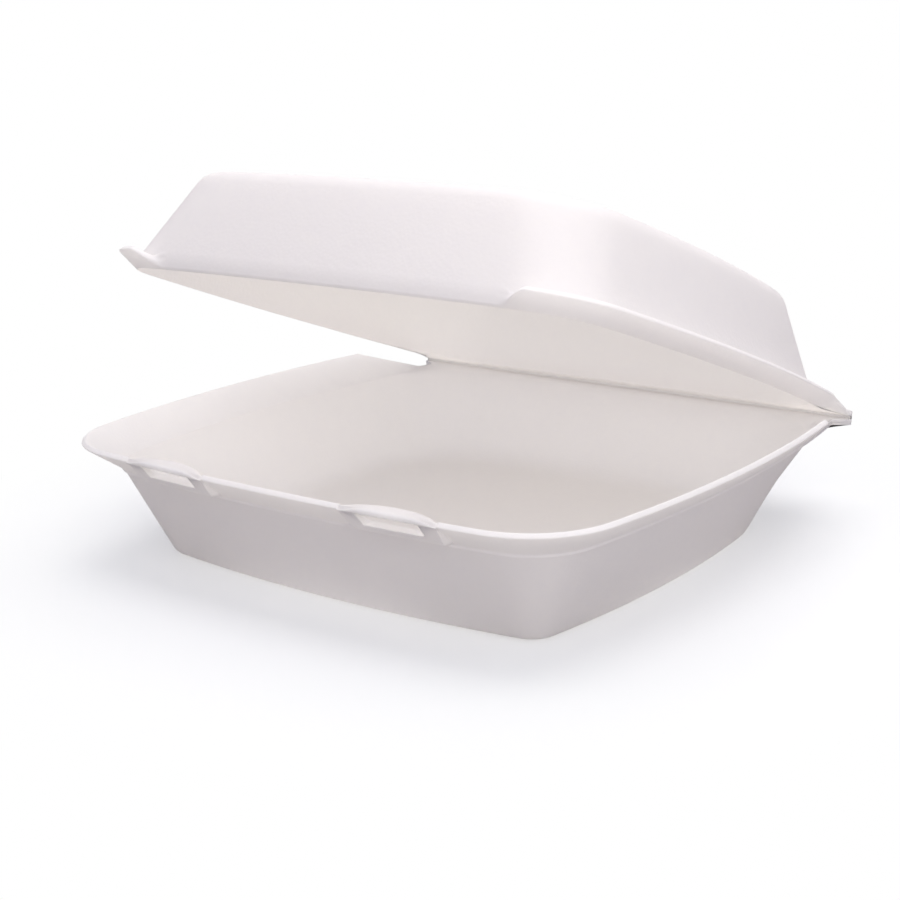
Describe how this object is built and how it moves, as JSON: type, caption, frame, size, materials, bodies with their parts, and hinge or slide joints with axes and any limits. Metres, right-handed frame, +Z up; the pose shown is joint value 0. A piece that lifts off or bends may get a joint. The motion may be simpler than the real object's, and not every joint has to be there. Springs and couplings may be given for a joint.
{
  "type": "foam clamshell food container",
  "caption": "Square foam clamshell food container with a shallow drafted tray, a hinged domed lid, flared flanges and lug locks at the front.",
  "frame": {"origin": "middle of the tray's flat underside, on the table", "axes": "+X along the hinge crease to the viewer's right, +Y from the locks at the front to the hinge at the back, +Z up"},
  "size_m": [0.241, 0.2285, 0.1446],
  "materials": {
    "white_foam": "matte expanded polystyrene foam sheet"
  },
  "bodies": {
    "tray": {"tray": "white_foam"},
    "lid": {"lid": "white_foam"}
  },
  "joints": [
    {"name": "lid_hinge", "type": "hinge", "parent": "tray", "child": "lid", "pos_m": [0, 0.11, 0.0373], "axis": [-1, 0, 0], "range_deg": [-20, 160]}
  ]
}
